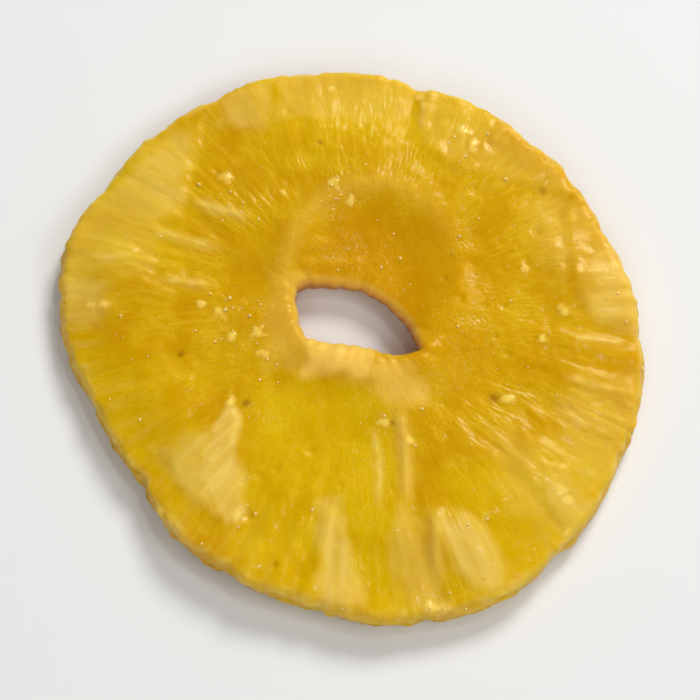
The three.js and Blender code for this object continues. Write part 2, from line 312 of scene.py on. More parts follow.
# The fine relief stands along the surface's own normals. Heights and lengths are in millimetres.
relief = {
    # Fibre bundles: how many round the slice, the length they keep their shape, depth, where they start.
    "fibres": [(58, 14, 0.15, 13), (165, 7, 0.09, 12)],
    "fibreGrowth": 13,          # they are whole this far beyond their start
    "fibreLevel": 0.22,         # share of a bundle's height that lies below the surface, as grooves
    "fibreFall": 6,             # length over which they change down the walls
    "fibreSway": 0.07,          # of a radian
    "fibreSwayLength": 7,
    # Where the fibres stand out or, below nothing, hardly show: x, y, radius, how much.
    "fibreZones": [(-24, 9.5, 8, 1), (-13, 16.5, 6, 0.5), (29, -9.5, 9, 0.8), (13, -31.5, 7, 0.5),
                   (19, 23.5, 7, 0.5), (-1, 29, 8, -1.2), (-4, -14.5, 9, -0.5), (-24, -20, 11, -0.8),
                   (30, 7.5, 6, -0.6)],
    "fibrePatch": 6.5,          # length of the noise that breaks these zones up
    "fibreStrength": (0.15, 1.1),
    "undersideShare": 0.5,      # how much of the fibres and puckers the underside has
    "puckers": [(4.2, 0.12), (1.9, 0.08), (0.9, 0.045)],
    # Single fibres that dried proud, painted pale along them as a highlight: from, to, width, height.
    "strands": [
        ((-32.2, 10.4), (-23.4, 9.6), 0.6, 0.16), ((-31.4, 4.2), (-28.8, 4), 0.6, 0.16),
        ((-19.4, 17.4), (-12, 15), 0.45, 0.12), ((-24.2, 13.8), (-15.6, 11.2), 0.45, 0.1),
        ((-23.2, 7.4), (-16.8, 6.4), 0.45, 0.12), ((25.2, -5), (33, -7), 0.5, 0.12),
        ((24.2, -9.2), (32, -12.6), 0.5, 0.12), ((26.4, -0.2), (33, -0.6), 0.4, 0.1),
        ((22.2, -13), (29.8, -18), 0.45, 0.12), ((3, -11.4), (3.3, -22), 0.4, 0.1),
        ((-18.6, -26), (-23.4, -20.8), 0.6, 0.14), ((8.8, 26.4), (10.2, 33), 0.5, 0.12),
    ],
    # Folds of the skin that dried over the dish, given in the same way.
    "folds": [
        ((-6.6, 9.2), (2.4, 9.9), 0.7, 0.16), ((-6.4, 13.2), (-2.2, 15.2), 0.6, 0.12),
        ((-6.4, 11.2), (-1.8, 12.5), 0.6, 0.14),
    ],
    "strandEnd": (0.5, 2),      # a strand fades from this far beyond its end to this far inside it
    # The rim's wall: upright pleats, how many round it and how deep; level crinkles, length, height and
    # depth; and a ledge where the peel was cut off.
    "rimPleats": [(150, 0.4), (39, 0.22)],
    "rimPleatLevel": 0.25,
    "rimPleatLength": 3,
    "rimCrinkles": [(2.6, 0.8, 0.3), (1.2, 0.5, 0.12)],
    "rimLedge": {"level": 2.9, "wander": 1.6, "wanderLength": 7, "width": 0.4, "depth": 0.22},
    "rimPatch": 6,
    "rimStrength": (0.5, 1.2),
    "rimStart": 0.93,           # share of the way from hole to rim
    "wallPleats": {"count": 44, "depth": 0.22, "level": 0.2, "length": 5, "whole": 0.03, "gone": 0.14},
    # Crusts where drops of syrup dried, raised and painted pale as glints: x, y, radius.
    "crustsAndGlints": [
        (-11.2, 0.5, 0.9), (-15.7, 3, 0.7), (-14.2, 0, 0.6), (-10.5, -2.4, 0.6), (-31.2, 4.1, 0.7),
        (-29.7, 4, 0.6), (-15.2, 20.4, 0.7), (0, 17.4, 0.6), (-2, 19.6, 0.7), (-8.2, 18.4, 0.5),
        (14.8, 24.6, 0.8), (13.8, 26.7, 0.7), (8.8, 31.6, 0.7), (8.9, 30.3, 0.6), (25.6, 3.4, 0.7),
        (22.8, -0.4, 0.5), (18.8, -7.8, 0.8), (24.7, -19.2, 0.8), (25.7, -20.4, 0.7), (25.4, -24.4, 0.6),
        (9.2, -33.4, 0.7), (11, -33.5, 0.8), (-13.4, -22.7, 0.8), (-14.2, -8.4, 0.5), (3.8, -10.7, 0.8),
        (7, -13.5, 0.5), (-22.6, -21.9, 0.6), (21, 8.6, 0.6), (-18, 4.2, 0.5),
    ],
    "crustHeight": 0.14,
    "crustWander": 0.8,         # how ragged its edge is, in radii
    "crustWanderLength": 0.7,
    "crustEdge": (0.3, 1.2),    # it thins from this many radii to this many
    # Pits: how many, depth, radius, each one's share of both, and where, as a share of the face's area.
    "pits": 46,
    "pitDepth": 0.3,
    "pitRadius": 0.45,
    "pitDepths": (0.3, 1),
    "pitRadii": (0.5, 1.4),
    "pitReach": (0.14, 0.93),
}


def gridNormals(x, y, z):
    places = np.stack([x, y, z], axis=-1)
    around = np.roll(places, -1, axis=0) - np.roll(places, 1, axis=0)
    down = np.roll(places, -1, axis=1) - np.roll(places, 1, axis=1)
    normals = np.cross(down, around)
    return normals / np.linalg.norm(normals, axis=-1, keepdims=True)


# Noise that runs out from the fibres' centre in narrow strips.
def strips(heading, along, count, seed):
    turn = count / fullTurn
    return noiseAt(np.cos(heading) * turn, np.sin(heading) * turn, along, seed)


# How much the fibres stand out, from 0 to 1.
def fibrePatchiness():
    zones = 0
    for zoneX, zoneY, radius, much in relief["fibreZones"]:
        zones = zones + much * hump(np.hypot(x - zoneX, y - zoneY), radius)
    return ramp(noiseOf(relief["fibrePatch"], x, y, z, 3) + zones, -0.1, 1)


# Rounded bundles with narrow grooves between them, standing out in some patches and nearly gone in others.
def fibreRelief():
    distance, heading = fibrePlace(x, y)
    heading = heading + relief["fibreSway"] * noiseOf(relief["fibreSwayLength"], x, y, z, 11)
    height = np.zeros_like(x)
    for count, length, depth, start in relief["fibres"]:
        along = distance / length + z / relief["fibreFall"]
        bundles = np.abs(strips(heading, along, count, count)) - relief["fibreLevel"]
        height += 2 * depth * bundles * ramp(distance, start, start + relief["fibreGrowth"])
    return height * mix(*relief["fibreStrength"], fibrePatch)


# How far along a strand a place lies, as a whole or fading share, and how far to its side.
def strandPlace(start, end):
    (x0, y0), (x1, y1) = start, end
    length = math.hypot(x1 - x0, y1 - y0)
    along = ((x - x0) * (x1 - x0) + (y - y0) * (y1 - y0)) / length
    aside = ((x - x0) * (y1 - y0) - (y - y0) * (x1 - x0)) / length
    beyond, within = relief["strandEnd"]
    return ramp(along, -beyond, within) * (1 - ramp(along, length - within, length + beyond)), aside


def strandRelief():
    height = np.zeros_like(x)
    for start, end, width, tall in relief["strands"] + relief["folds"]:
        whole, aside = strandPlace(start, end)
        height += tall * whole * hump(aside, width) * onTop
    return height


def puckerRelief():
    return sum(depth * noiseOf(length, x, y, z, 2 * length) for length, depth in relief["puckers"])


# The rim dried into upright pleats with small level crinkles across them, deeper in some places.
def rimRelief():
    height = np.zeros_like(x)
    for count, depth in relief["rimPleats"]:
        pleats = np.abs(strips(angle, z / relief["rimPleatLength"], count, 6 + count))
        height += depth * (pleats - relief["rimPleatLevel"])
    for length, tall, depth in relief["rimCrinkles"]:
        height += depth * noiseAt(x / length, y / length, z / tall, 14 + length)
    ledge = relief["rimLedge"]
    wander = ledge["wander"] * noiseOf(ledge["wanderLength"], x, y, 0 * z, 21)
    height -= ledge["depth"] * hump(z - ledge["level"] - wander, ledge["width"])
    strength = mix(*relief["rimStrength"], ramp(noiseOf(relief["rimPatch"], x, y, z, 22), -0.4, 0.4))
    return height * strength * ramp(share, relief["rimStart"], 1)


def wallRelief():
    pleats = relief["wallPleats"]
    height = strips(angle, z / pleats["length"], pleats["count"], 7) - pleats["level"]
    return pleats["depth"] * height * (1 - ramp(share, pleats["whole"], pleats["gone"]))


def pitRelief():
    random = np.random.default_rng(11)
    height = np.zeros_like(x)
    for i in range(relief["pits"]):
        pitAngle = random.uniform(0, fullTurn)
        reach = math.sqrt(random.uniform(*relief["pitReach"])) * ring["rimRadius"]
        radius = relief["pitRadius"] * random.uniform(*relief["pitRadii"])
        away = np.hypot(x - reach * math.cos(pitAngle), y - reach * math.sin(pitAngle))
        height -= relief["pitDepth"] * random.uniform(*relief["pitDepths"]) * hump(away, radius) * onTop
    return height


# How much of a crust lies at a place, from 0 to 1: it raises the crust, and the material paints it pale as
# a glint.
def crustAndGlintShare():
    wander = relief["crustWander"] * noiseOf(relief["crustWanderLength"], x, y, z, 31)
    crustAndGlint = np.zeros_like(x)
    for crustX, crustY, radius in relief["crustsAndGlints"]:
        away = np.hypot(x - crustX, y - crustY) / radius + wander
        crustAndGlint = np.maximum(crustAndGlint, 1 - ramp(away, *relief["crustEdge"]))
    return crustAndGlint * onTop


print("ring: adding fibres, puckers and pleats")
normals = gridNormals(x, y, z)
fibrePatch = fibrePatchiness()
crustAndGlint = crustAndGlintShare()
height = (fibreRelief() + puckerRelief()) * mix(relief["undersideShare"], 1, onTop) + strandRelief()
height = height + rimRelief() + wallRelief() + pitRelief() + relief["crustHeight"] * crustAndGlint
x = x + normals[..., 0] * height
y = y + normals[..., 1] * height
z = z + normals[..., 2] * height

# The finished ring is centred on the solid's box and lies flat.
solidMiddle = (solidLow + solidHigh) / 2 / mm
shiftX = solidMiddle.x - (x.min() + x.max()) / 2
shiftY = solidMiddle.y - (y.min() + y.max()) / 2
z = np.maximum(z, 0)
print("ring: height", round(float(z.max()), 2), "mm of", round(solidHigh.z / mm, 2))


def addPiece(name, places, faces):
    mesh = bpy.data.meshes.new(name)
    mesh.from_pydata((places * mm).tolist(), [], faces)
    piece = bpy.data.objects.new(name, mesh)
    bpy.context.scene.collection.objects.link(piece)
    return piece


def gridPiece(name, x, y, z):
    rows, columns = x.shape
    places = np.stack([x + shiftX, y + shiftY, z], axis=-1).reshape(-1, 3)
    corners = np.arange(rows * columns).reshape(rows, columns)
    across = np.roll(corners, -1, axis=1)
    quads = np.stack([corners, across, np.roll(across, -1, axis=0), np.roll(corners, -1, axis=0)], axis=-1)
    piece = addPiece(name, places, quads.reshape(-1, 4).tolist())
    piece.data.shade_smooth()
    return piece


def keepValue(piece, name, values):
    kept = piece.data.attributes.new(name, "FLOAT", "POINT")
    kept.data.foreach_set("value", np.broadcast_to(values, x.shape).astype(np.float32).ravel())


slicePiece = gridPiece("candied_slice", x, y, z)

# Where the flesh differs in colour, kept on the mesh for its material. Lengths are in millimetres. A patch
# gives how much it shows, how wide its soft edge is, and its corners anticlockwise.
flesh = {
    # Pale patches, partly dry flesh and partly painted reflection.
    "dryAndSheenPatches": [
        (1.0, 1.4, [(-14.6, -7.6), (-17, -12), (-18, -18), (-14.8, -23.6), (-12.3, -22), (-13, -10.5)]),
        (0.7, 2.2, [(-16.2, -11.4), (-23.4, -14), (-21.2, -18.4), (-15.9, -22.6), (-14.8, -14.4)]),
        (0.6, 1.6, [(-4.4, -20.6), (-4.6, -26.5), (-0.6, -26.5), (-1.4, -20.6)]),
        (0.5, 1.8, [(-16.7, 32), (-15.7, 27.4), (-10, 26.6), (-9, 34)]),
        (0.35, 1.6, [(-9.4, 28), (6.2, 28), (9.6, 35.5), (-9.4, 36)]),
        (0.6, 3.0, [(-36, 1.5), (-30, 1.5), (-28.4, 7.5), (-36, 9.5)]),
        (0.3, 3.0, [(24, -7.5), (25.8, -19.5), (36, -19.5), (36, -3)]),
        (0.35, 4.0, [(-36, 8), (-23.4, 7), (-21.4, 17), (-34, 21)]),
        (0.45, 2.0, [(5.6, -21.4), (4.4, -28.4), (6.8, -34.4), (11.2, -34.4), (10.6, -27.4), (8, -21.4)]),
        (0.3, 3.0, [(20.8, 17.6), (21.8, 10.6), (25.8, 6.6), (28.8, 10.6), (25.8, 18.6)]),
        (0.8, 2.5, [(28, 9.6), (29.6, 2), (36, 0), (36, 9), (31.6, 13.6)]),
        (0.3, 3.0, [(16.8, -11.4), (17.8, -21.4), (23.8, -26), (24.8, -13.4)]),
    ],
    # Pale flesh of the lip with painted light where it catches the lamp, to the left and to the right, and
    # a faint band left of the hole.
    "lipLightPatches": [
        (1.0, 1.8, [(-5.8, 1), (-5.8, -5.2), (-0.4, -5.9), (2.6, -6.4), (3.6, -0.4)]),
        (0.65, 2.8, [(-0.6, -3), (-0.4, -5.4), (2.9, -7.4), (6.7, -9.7),
                     (9.3, -8.4), (8.8, -5.4), (5.6, -3)]),
        (0.3, 2.5, [(-9.8, 8.5), (-10, -5), (-5.2, -5), (-5.4, 8.5)]),
    ],
    # Flesh of the core is browner. It fills the dish, thins out between two places in X to a share of
    # itself, and reaches out of the dish in a faint patch to the right.
    "core": {"cover": 0.85, "wholeWithin": 0.45, "wander": 0.06, "thins": (4, 11), "thin": 0.6},
    "corePatches": [
        (0.3, 5.0, [(5.8, -5.4), (13.8, -6.4), (16.8, 4.6), (14.8, 15.6), (7.8, 17.6)]),
    ],
    # Lemon yellow flesh, the rest being deeper gold.
    "lemonPatches": [
        (1.0, 8.0, [(-13.2, -4.4), (-15.2, -36), (9.8, -36), (4.8, -5.4)]),
        (0.8, 7.0, [(-13.2, 34), (-11.2, 22.6), (12.8, 22.6), (26, 36), (0, 40)]),
        (0.95, 7.0, [(8.8, -17.4), (12.8, -36), (36, -32), (36, -13.4), (20.8, -13.4)]),
        (0.9, 4.0, [(-18.2, -9.4), (-27.2, -13.4), (-23.2, -21.4), (-15.2, -19.4)]),
        (0.95, 6.0, [(6.8, 18.6), (8.8, 34), (24.8, 30), (34.8, 8.6),
                     (25.8, 4.6), (18.8, 13.6), (11.8, 13.6)]),
        (0.8, 6.0, [(-34, 5), (-20.2, 8.6), (-16.2, 22.6), (-24, 31), (-36, 20)]),
        (0.6, 6.0, [(-36, 1), (-31, -18), (-17, -15), (-14, -5), (-22, 0)]),
    ],
    # Where syrup pooled and dried glossy, and bruised brown specks: x, y, radius.
    "syrupSpots": [(-14.2, 18.6, 3.5), (-1.2, 19, 3), (-13.2, 2, 4), (3.8, -10.8, 2), (14.3, 25.6, 4),
                   (25.3, -19.4, 3), (10.3, -33.6, 3), (-13.2, -22.4, 2.5), (24.8, 8.6, 4),
                   (19.8, -7.4, 1.6), (-30.2, 4.2, 2.5), (-21.2, -23.4, 3)],
    "bruises": [(17, -7.8, 0.6), (-12.4, -8.5, 0.5), (5, -11.1, 0.3), (-3.7, 25, 0.3),
                (23.3, 19, 0.35), (-20.2, -2.2, 0.35), (-8.7, -28.4, 0.3)],
    "edgeNoise": 2.4,           # length of the noise that makes the edges ragged
    "softShares": (0.35, 0.65),     # how much of a soft edge lies outside the corners and inside them
    "facetSoftness": 2.2,
    # How far ragged edges stray.
    "wander": {"facets": 1.1, "dry": 1.2, "core": 1, "lip": 1.3, "lemon": 2},
    # Fine streaks along the fibres: how many round the slice, their length, from where to where they grow.
    "streaks": {"count": 210, "length": 10, "grow": (6, 16)},
    "dryStreaks": (0.85, 0.5),  # how much the patches show between streaks, and what a streak changes
    "lipStreaks": (0.9, 0.35),
    # Pale places that no patch gives: the rim's streaks, and painted highlights along the rim's edge, the
    # crease and the proud fibres. A cover of two numbers runs from the least to the most.
    "rimStreaks": {"cover": 0.5, "streak": (0.05, 0.5), "reach": (2, 11), "least": 0.25},
    "rimEdgeHighlight": {"cover": (0.2, 0.65), "wander": 0.5, "reach": (0.3, 1.6)},
    "creaseHighlight": {"cover": 0.55, "wander": 0.3, "width": 0.8},
    "strandHighlight": {"cover": (0.35, 0.75), "wander": 0.4, "width": 1.3},
    "fringe": 1.3,              # length of the noise that breaks these up
    # Painted highlights: pale lines on the dish's brim and round the hole, away from the lip.
    "brimHighlight": {"cover": 0.18, "reach": 0.98, "wander": 0.4, "width": 1.1, "towards": 125},
    "holeEdge": {"cover": 0.6, "reach": (0.5, 1.5)},
    # The walls are darker: the hole's all over, the rim's in streaks.
    "wallReach": (0.9, 1.8),
    "rimWall": (0.05, 0.4),
    "wallStreaks": {"count": 190, "length": 5, "blotches": 0.7, "blotchLength": 3},
    # From where to where the fibres' colour grows, and how much is left where they hardly stand out.
    "fibreShow": {"grow": (9, 19), "least": 0.45},
    # Patterns that follow the fibres: how many repeats in a turn, their length and their depth.
    "fibreRun": {"count": 150, "length": 8, "depth": 3},
    # Juice cells are small and round near the core, then long and widening slowly towards the rim.
    "cellRun": {"count": 172, "length": 5, "depth": 1.5, "at": 17, "nearPower": 0.8, "farPower": 0.25},
}

edgeNoise = noiseOf(flesh["edgeNoise"], x, y, z, 8)
distance, heading = fibrePlace(x, y)
fineStreaks = strips(heading, distance / flesh["streaks"]["length"], flesh["streaks"]["count"], 15)
fineStreaks = fineStreaks * ramp(distance, *flesh["streaks"]["grow"])
fromRim = (1 - share) * ring["rimRadius"]
fromHole = share * ring["rimRadius"]
reach = dishReach(x, y)
farSide = 1 - lipShare(angle)


def patchValue(patches, wander):
    outside, within = flesh["softShares"]
    value = np.zeros_like(x)
    for cover, soft, corners in patches:
        inside = insidePatch(x, y, corners) + wander * edgeNoise
        value = np.maximum(value, cover * ramp(inside, -outside * soft, within * soft))
    return value


def spotValue(spots):
    value = sum(hump(np.hypot(x - spotX, y - spotY), radius) for spotX, spotY, radius in spots)
    return np.minimum(value, 1) * onTop


def dryAndSheenValue():
    # Facets are painted pale both as dry flesh and as reflection off their faces.
    facets = [(pale, flesh["facetSoftness"], corners) for own, pale, corners in ring["facets"]]
    dry = np.maximum(patchValue(facets, flesh["wander"]["facets"]),
                     patchValue(flesh["dryAndSheenPatches"], flesh["wander"]["dry"]))
    between, change = flesh["dryStreaks"]
    dry = dry * (between + change * fineStreaks)
    streaks = flesh["rimStreaks"]
    streaky = streaks["cover"] * ramp(fineStreaks, *streaks["streak"])
    streaky = streaky * (1 - ramp(fromRim, *streaks["reach"])) * mix(streaks["least"], 1, fibrePatch)
    fringe = ramp(noiseOf(flesh["fringe"], x, y, z, 17), -0.3, 0.3)
    # A painted highlight along the rim's top edge.
    edge = flesh["rimEdgeHighlight"]
    rimEdgeHighlight = (1 - ramp(fromRim + edge["wander"] * edgeNoise, *edge["reach"])) * ramp(side, -0.5, 0.6)
    # A painted highlight along the crease's ridge.
    crease = flesh["creaseHighlight"]
    aside, whole = creasePlace(x, y)
    creaseHighlight = crease["cover"] * hump(aside + crease["wander"] * edgeNoise, crease["width"]) * whole
    # Painted highlights along the proud fibres.
    strand = flesh["strandHighlight"]
    strandHighlight = np.zeros_like(x)
    for start, end, width, tall in relief["strands"]:
        whole, aside = strandPlace(start, end)
        pale = whole * hump(aside + strand["wander"] * edgeNoise, strand["width"] * width)
        strandHighlight = np.maximum(strandHighlight, pale)
    for value in (streaky, mix(*edge["cover"], fringe) * rimEdgeHighlight, creaseHighlight,
                  mix(*strand["cover"], fringe) * strandHighlight):
        dry = np.maximum(dry, value)
    return dry


def coreValue():
    core = flesh["core"]
    filled = core["cover"] * (1 - ramp(reach + core["wander"] * edgeNoise, core["wholeWithin"], 1))
    filled = filled * farSide * mix(1, core["thin"], ramp(x, *core["thins"]))
    return np.maximum(filled, patchValue(flesh["corePatches"], flesh["wander"]["core"]))


# Pale flesh of the lip, lightened with painted light where it catches the lamp, and painted highlights on
# the brim and round the hole.
def lipAndHighlightsValue():
    between, change = flesh["lipStreaks"]
    pale = patchValue(flesh["lipLightPatches"], flesh["wander"]["lip"]) * ramp(side, -0.9, 0.4)
    pale = pale * (between + change * fineStreaks)
    brim = flesh["brimHighlight"]
    fromBrim = (reach - brim["reach"]) * dish["halfLength"] + brim["wander"] * edgeNoise
    brimHighlight = hump(fromBrim, brim["width"]) * farSide
    brimHighlight = brimHighlight * ramp(np.cos(heading - math.radians(brim["towards"])), -0.1, 0.8)
    hole = flesh["holeEdge"]
    holeEdge = (1 - ramp(fromHole, *hole["reach"])) * ramp(side, -0.2, 0.7) * farSide
    return np.maximum(pale, np.maximum(brim["cover"] * brimHighlight, hole["cover"] * holeEdge))


def wallValue():
    streaks = flesh["wallStreaks"]
    blotches = streaks["blotches"] * noiseOf(streaks["blotchLength"], x, y, z, 19)
    streaky = ramp(strips(angle, z / streaks["length"], streaks["count"], 18) + blotches, -0.6, 0.6)
    rimWall = mix(*flesh["rimWall"], streaky) * (1 - ramp(fromRim, *flesh["wallReach"]))
    walls = np.maximum(1 - ramp(fromHole, *flesh["wallReach"]), rimWall)
    return walls * (1 - ramp(side, -0.1, 0.8)) * ramp(side, -1.1, -0.6)


# Places in a space where a pattern that follows the fibres is drawn.
def keepRun(piece, name, widening=1):
    run = flesh[name]
    turn = run["count"] / fullTurn * widening
    along = distance / run["length"] + z / run["depth"]
    places = np.stack([np.cos(heading) * turn, np.sin(heading) * turn, along], axis=-1)
    kept = piece.data.attributes.new(name, "FLOAT_VECTOR", "POINT")
    kept.data.foreach_set("vector", places.astype(np.float32).ravel())


print("ring: finding dry, pale and glossy flesh")
syrup = spotValue(flesh["syrupSpots"])
dryFleshAndSheen = dryAndSheenValue()
fibreShow = ramp(distance, *flesh["fibreShow"]["grow"]) * mix(flesh["fibreShow"]["least"], 1, fibrePatch)
keepValue(slicePiece, "crustAndGlint", crustAndGlint)
keepValue(slicePiece, "syrup", syrup)
keepValue(slicePiece, "bruise", spotValue(flesh["bruises"]))
keepValue(slicePiece, "dryFleshAndSheen", dryFleshAndSheen)
keepValue(slicePiece, "coreFlesh", coreValue())
keepValue(slicePiece, "lipPaleAndHighlights", lipAndHighlightsValue())
keepValue(slicePiece, "lemonFlesh", patchValue(flesh["lemonPatches"], flesh["wander"]["lemon"]))
keepValue(slicePiece, "fibreShow", fibreShow)
keepValue(slicePiece, "wallFlesh", wallValue())
keepRun(slicePiece, "fibreRun")
cellRun = flesh["cellRun"]
outwards = distance / cellRun["at"]
keepRun(slicePiece, "cellRun",
        np.where(outwards < 1, outwards ** cellRun["nearPower"], outwards ** cellRun["farPower"]))


# Grains of sugar stuck to the slice: most where syrup pooled, the rest anywhere but oftener on flesh
# painted pale, as dry flesh and as sheen.
sugar = {
    "count": 280,
    "smallest": 0.08,
    "largest": 0.34,
    "smallPower": 3,            # above 1 small grains are commoner than large ones
    "unevenness": (0.7, 1.2),   # each side of a grain, as a share of its size
    "sunk": 0.3,
    "clustered": 0.75,          # share of the grains that lie where syrup pooled
    "elsewhere": 0.3,           # chance on flesh that isn't dry, for the others
    "rimPower": 0.75,           # below 1 they crowd towards the rim
    "headroom": 0.25,           # none lies nearer than this to the solid's top
}


def scatterSugar():
    random = np.random.default_rng(23)
    topColumns = ring["topSteps"] + ring["rimSteps"] // 2
    box = np.array([(a, b, c) for a in (-1, 1) for b in (-1, 1) for c in (-1, 1)], float)
    sides = [(0, 1, 3, 2), (4, 6, 7, 5), (0, 4, 5, 1), (2, 3, 7, 6), (0, 2, 6, 4), (1, 5, 7, 3)]
    ceiling = solidHigh.z / mm - sugar["headroom"]
    places, faces = [], []
    while len(places) < sugar["count"]:
        j = int(topColumns * random.uniform(0, 1) ** sugar["rimPower"])
        i = int(random.integers(ring["roundSteps"]))
        clustered = random.uniform() < sugar["clustered"]
        wanted = syrup[i, j] if clustered else mix(sugar["elsewhere"], 1, dryFleshAndSheen[i, j])
        if random.uniform() > wanted or z[i, j] > ceiling:
            continue
        length = mix(sugar["smallest"], sugar["largest"], random.uniform() ** sugar["smallPower"])
        size = length * random.uniform(*sugar["unevenness"], 3) / 2
        turn = np.array(Matrix.Rotation(random.uniform(0, fullTurn), 3, Vector(random.normal(size=3))))
        place = np.array([x[i, j] + shiftX, y[i, j] + shiftY, z[i, j]])
        place = place + normals[i, j] * size.mean() * (1 - 2 * sugar["sunk"])
        first = 8 * len(places)
        places.append((box * size) @ turn.T + place)
        faces += [[first + c for c in s] for s in sides]
    return addPiece("sugar_grains", np.concatenate(places), faces)


print("sugar: scattering grains")
sugarPiece = scatterSugar()


def toLinear(hexColour):
    channels = [int(hexColour[i:i + 2], 16) / 255 for i in (1, 3, 5)]
    linear = [c / 12.92 if c <= 0.04045 else ((c + 0.055) / 1.055) ** 2.4 for c in channels]
    return (*linear, 1)


# Gives a node its inputs, by name or number, each as a value or as the socket to link from.
def fillInputs(tree, node, inputs):
    for name, value in inputs.items():
        if isinstance(value, bpy.types.NodeSocket):
            tree.links.new(value, node.inputs[name])
        else:
            node.inputs[name].default_value = value


def addNode(tree, kind, settings, inputs):
    node = tree.nodes.new("ShaderNode" + kind)
    for name, value in settings.items():
        setattr(node, name, value)
    fillInputs(tree, node, inputs)
    return node


def newMaterial(name):
    material = bpy.data.materials.new(name)
    material.use_nodes = True
    tree = material.node_tree
    return material, tree, tree.nodes["Principled BSDF"]


# Candied pineapple: flesh boiled in syrup, then dried. The syrup makes it a clear gold that light soaks
# into, under a thin uneven gloss. Where air got between the fibres it dried pale and cloudy; part of that
# pale is painted reflection.
candied = {
    # Colours, each laid over those before it.
    "deepGold": "#d09c00",
    "lemonGold": "#deb700",
    "fibreGold": "#f0cc30",
    "cellGold": "#e8c230",
    # The dry pale is partly painted reflection; the lip's pale and the crusts' pale are partly painted
    # highlight.
    "dryPaleAndSheen": "#efcd64",
    "coreAmber": "#cc8c00",
    "lipHighlightPale": "#f7cc60",
    "wallAmber": "#b87400",
    "speckBrown": "#8a4c0c",
    "frostPale": "#f2d468",
    "crustGlintPale": "#fbd868",
    # How much of the full colour these come to.
    "lemonCover": 0.6,
    "coreCover": 0.7,
    "bruiseCover": 0.65,
    "crustGlintCover": 0.7,
    # Noises: size in millimetres, detail, roughness.
    "noises": {
        "clouds": (6.0, 3, 0.55),
        "grain": (0.4, 2, 0.5),
        "ripple": (1.2, 2, 0.5),
        "frost": (0.3, 1, 0.5),
        "gloss": (3.0, 2, 0.6),
        "specks": (0.9, 1, 0.5),
    },
    # Bumps: strength, and height in millimetres.
    "rippleBump": (0.42, 0.12),
    "cellBump": (0.28, 0.08),
    "fibreBump": (0.5, 0.1),
    "grainBump": (0.26, 0.06),
    "roughness": (0.32, 0.46),  # least and most, then what syrup and dryness change
    "syrupRoughness": -0.12,
    "dryRoughness": 0.16,
    "coat": (0.02, 0.16),       # the gloss, least and most, then what syrup adds
    "syrupCoat": 0.22,
    "coatRoughness": 0.12,
    "ior": 1.45,
    "specular": 0.32,
    "specularTint": "#ffcc30",
    "soak": 0.7,                # how much of the light soaks in, how far each colour goes, and the farthest
    "soakColours": (1, 0.6, 0.1),
    "soakMm": 2.5,
}


